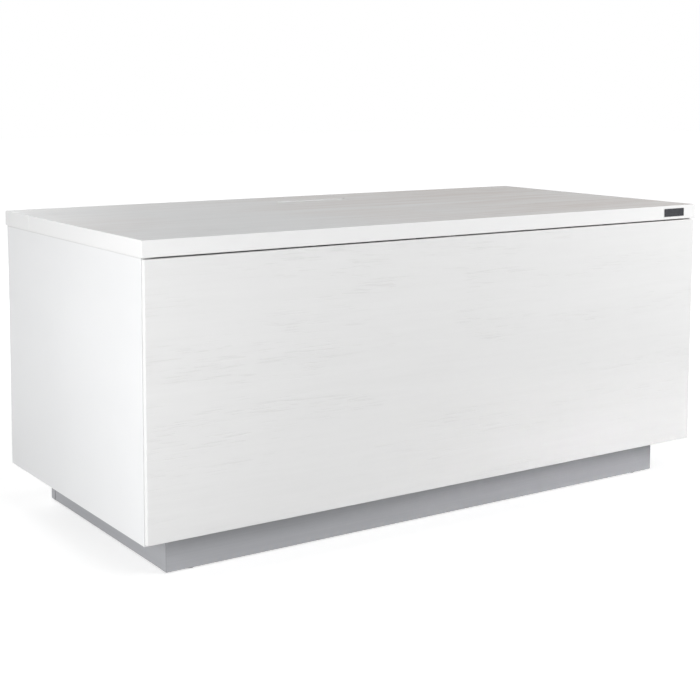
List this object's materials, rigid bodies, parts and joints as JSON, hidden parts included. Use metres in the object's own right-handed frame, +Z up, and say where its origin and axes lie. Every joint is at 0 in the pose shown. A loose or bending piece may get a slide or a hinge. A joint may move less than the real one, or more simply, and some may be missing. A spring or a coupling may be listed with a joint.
{
  "type": "av stand",
  "caption": "Low white AV stand on a recessed grey plinth, with a drop-down front flap on braked stays, adjustable shelves and a lift-off cable cover with a cable slot.",
  "frame": {"origin": "on the floor under the middle of the stand's overall box", "axes": "+X to the right as seen from the front, along the width; +Y to the rear; +Z up; the flap faces -Y"},
  "size_m": [1.04, 0.5011, 0.4678],
  "materials": {
    "white_grain": "white laminate with an embossed horizontal wood grain, satin",
    "white_smooth": "smooth white laminate, satin",
    "white_inside": "white melamine-faced board, matt",
    "white_hardboard": "white-faced hardboard, matt",
    "grey_plinth": "aluminium-look foil on board, satin",
    "plated_steel": "zinc-plated steel",
    "die_cast_zinc": "die-cast metal, matt",
    "grey_plastic": "grey moulded plastic",
    "dark_magnet": "dark magnet",
    "dark_plate": "dark bare plate, satin"
  },
  "bodies": {
    "cabinet": {"top_panel": "white_grain", "side_panel_left": "white_smooth", "side_panel_right": "white_smooth", "bottom_panel": "white_inside", "centre_partition": "white_inside", "inner_back": "white_inside", "rear_rail": "white_inside", "rear_panel": "white_hardboard", "shelf_left": "white_inside", "shelf_right": "white_inside", "shelf_pin_left_inner_front": "plated_steel", "shelf_pin_left_inner_rear": "plated_steel", "shelf_pin_left_outer_front": "plated_steel", "shelf_pin_left_outer_rear": "plated_steel", "shelf_pin_right_inner_front": "plated_steel", "shelf_pin_right_inner_rear": "plated_steel", "shelf_pin_right_outer_front": "plated_steel", "shelf_pin_right_outer_rear": "plated_steel", "plinth_front": "grey_plinth", "plinth_rear": "grey_plinth", "plinth_left": "grey_plinth", "plinth_right": "grey_plinth", "glide_front_left": "grey_plastic", "glide_front_right": "grey_plastic", "glide_rear_left": "grey_plastic", "glide_rear_right": "grey_plastic", "badge_plate": "dark_plate", "hinge_plate_left": "plated_steel", "hinge_plate_middle": "plated_steel", "hinge_plate_right": "plated_steel", "pivot_pin_left": "plated_steel", "pivot_pin_middle": "plated_steel", "pivot_pin_right": "plated_steel", "stay_base_left": "die_cast_zinc", "stay_base_right": "die_cast_zinc", "latch_housing": "grey_plastic", "rear_screw_1": "plated_steel", "rear_screw_2": "plated_steel", "rear_screw_3": "plated_steel", "rear_screw_4": "plated_steel", "rear_screw_5": "plated_steel", "rear_screw_6": "plated_steel"},
    "flap": {"flap_panel": "white_grain", "flap_arm_left": "plated_steel", "flap_arm_middle": "plated_steel", "flap_arm_right": "plated_steel", "stay_anchor_left": "die_cast_zinc", "stay_anchor_right": "die_cast_zinc", "stay_pin_left": "plated_steel", "stay_pin_right": "plated_steel", "latch_strike": "plated_steel"},
    "left_rod": {"stay_rod_left": "plated_steel"},
    "right_rod": {"stay_rod_right": "plated_steel"},
    "left_housing": {"stay_housing_left": "grey_plastic"},
    "right_housing": {"stay_housing_right": "grey_plastic"},
    "plunger": {"latch_plunger": "grey_plastic", "latch_magnet": "dark_magnet"},
    "cover": {"cable_cover": "white_grain"}
  },
  "joints": [
    {"name": "flap_hinge", "type": "hinge", "parent": "cabinet", "child": "flap", "pos_m": [0, -0.217, 0.06214], "axis": [1, 0, 0], "range_deg": [0, 90]},
    {"name": "left_rod_pivot", "type": "hinge", "parent": "flap", "child": "left_rod", "pos_m": [-0.488, -0.23, 0.20153], "axis": [1, 0, 0], "range_deg": [-45.1, 0]},
    {"name": "right_rod_pivot", "type": "hinge", "parent": "flap", "child": "right_rod", "pos_m": [0.488, -0.23, 0.20153], "axis": [1, 0, 0], "range_deg": [-45.1, 0]},
    {"name": "left_housing_swivel", "type": "hinge", "parent": "cabinet", "child": "left_housing", "pos_m": [-0.4907, -0.1367, 0.17682], "axis": [1, 0, 0], "range_deg": [0, 45.1]},
    {"name": "right_housing_swivel", "type": "hinge", "parent": "cabinet", "child": "right_housing", "pos_m": [0.4907, -0.1367, 0.17682], "axis": [1, 0, 0], "range_deg": [0, 45.1]},
    {"name": "plunger_slide", "type": "slide", "parent": "cabinet", "child": "plunger", "axis": [0, -1, 0], "range_m": [0, 0.02]},
    {"name": "cover_lift", "type": "slide", "parent": "cabinet", "child": "cover", "axis": [0, 0, 1], "range_m": [0, 0.06]}
  ],
  "couplings": [
    {"joint": "left_rod_pivot", "follows": "flap_hinge", "ratio": -0.5},
    {"joint": "right_rod_pivot", "follows": "flap_hinge", "ratio": -0.5},
    {"joint": "left_housing_swivel", "follows": "flap_hinge", "ratio": 0.5},
    {"joint": "right_housing_swivel", "follows": "flap_hinge", "ratio": 0.5},
    {"joint": "plunger_slide", "follows": "flap_hinge", "m_per_rad": 0.0127}
  ]
}
